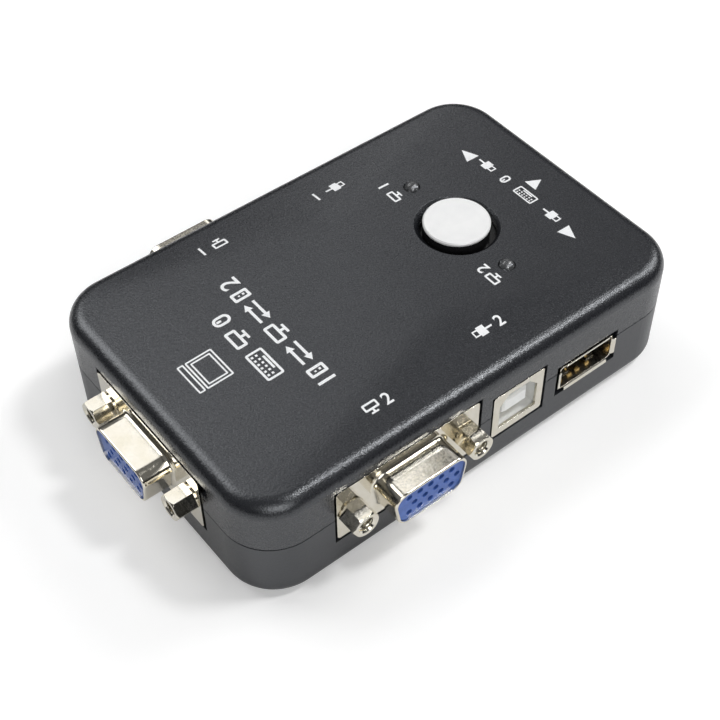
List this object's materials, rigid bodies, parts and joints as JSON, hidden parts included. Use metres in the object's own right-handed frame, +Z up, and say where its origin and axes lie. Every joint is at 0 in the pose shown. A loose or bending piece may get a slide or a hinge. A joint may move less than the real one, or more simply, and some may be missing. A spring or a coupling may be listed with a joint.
{
  "type": "kvm switch",
  "caption": "Small black desktop switch box that shares a monitor and USB devices between computers, with a round push button and indicator lamps on top.",
  "frame": {"origin": "middle of the flat underside of the case", "axes": "+X from the monitor end towards the console end, +Y towards the computer 1 side, +Z up, out of the button"},
  "size_m": [0.103, 0.0742, 0.0265],
  "materials": {
    "case_top": "black ABS, fine moulded grain",
    "case_bottom": "black ABS, smoother sides",
    "screw_steel": "zinc-plated self-tapping screws",
    "rubber": "black rubber",
    "cap_black": "glossy black moulding",
    "cap_silver": "satin silver disc with a bright bevel",
    "switch_black": "black switch moulding",
    "switch_steel": "plated steel",
    "led_clear": "clear epoxy",
    "lead_tinned": "tinned leads",
    "board_green": "green solder mask on glass-epoxy board",
    "chip_black": "black epoxy",
    "can_aluminium": "aluminium can",
    "resistor_black": "black-coated ceramic",
    "capacitor_tan": "tan ceramic",
    "nickel": "bright nickel plating, slightly warm",
    "insulator_blue": "blue moulded insulator",
    "contact_gold": "gold-flashed contacts",
    "usb_white": "white moulded insulator",
    "usb_black": "dark moulded tongue"
  },
  "bodies": {
    "case": {"bottom_shell": "case_bottom", "case_screws": "screw_steel", "chip_capacitors": "capacitor_tan", "chip_leads": "lead_tinned", "chip_resistors": "resistor_black", "circuit_board": "board_green", "controller_chip": "chip_black", "crystal_can": "can_aluminium", "diodes": "chip_black", "electrolytic_capacitors": "can_aluminium", "led_leads": "lead_tinned", "led_lens_1": "led_clear", "led_lens_2": "led_clear", "regulator_leads": "lead_tinned", "rubber_feet": "rubber", "switch_cover": "switch_steel", "switch_housing": "switch_black", "switch_snap_dome": "switch_steel", "switch_terminals": "switch_steel", "top_shell": "case_top", "usb_a_end_contacts": "contact_gold", "usb_a_end_shell": "nickel", "usb_a_end_tongue": "usb_black", "usb_a_side1_contacts": "contact_gold", "usb_a_side1_shell": "nickel", "usb_a_side1_tongue": "usb_black", "usb_a_side2_contacts": "contact_gold", "usb_a_side2_shell": "nickel", "usb_a_side2_tongue": "usb_black", "usb_b_pc1_body": "usb_white", "usb_b_pc1_contacts": "contact_gold", "usb_b_pc1_shell": "nickel", "usb_b_pc2_body": "usb_white", "usb_b_pc2_contacts": "contact_gold", "usb_b_pc2_shell": "nickel", "usb_hub_chip": "chip_black", "vga_monitor_brackets": "nickel", "vga_monitor_contacts": "contact_gold", "vga_monitor_insulator": "insulator_blue", "vga_monitor_jackscrews": "nickel", "vga_monitor_shell": "nickel", "vga_pc1_brackets": "nickel", "vga_pc1_contacts": "contact_gold", "vga_pc1_insulator": "insulator_blue", "vga_pc1_jackscrews": "nickel", "vga_pc1_shell": "nickel", "vga_pc2_brackets": "nickel", "vga_pc2_contacts": "contact_gold", "vga_pc2_insulator": "insulator_blue", "vga_pc2_jackscrews": "nickel", "vga_pc2_shell": "nickel", "video_switch_chips": "chip_black", "voltage_regulator": "chip_black"},
    "button": {"button_cap": "cap_black", "button_face": "cap_silver", "switch_plunger": "switch_black"}
  },
  "joints": [
    {"name": "button_press", "type": "slide", "parent": "case", "child": "button", "axis": [0, 0, -1], "range_m": [0, 0.0003], "stiffness_N_per_m": 4000, "springref_m": -0.0001, "deforming": ["switch_snap_dome"]}
  ]
}
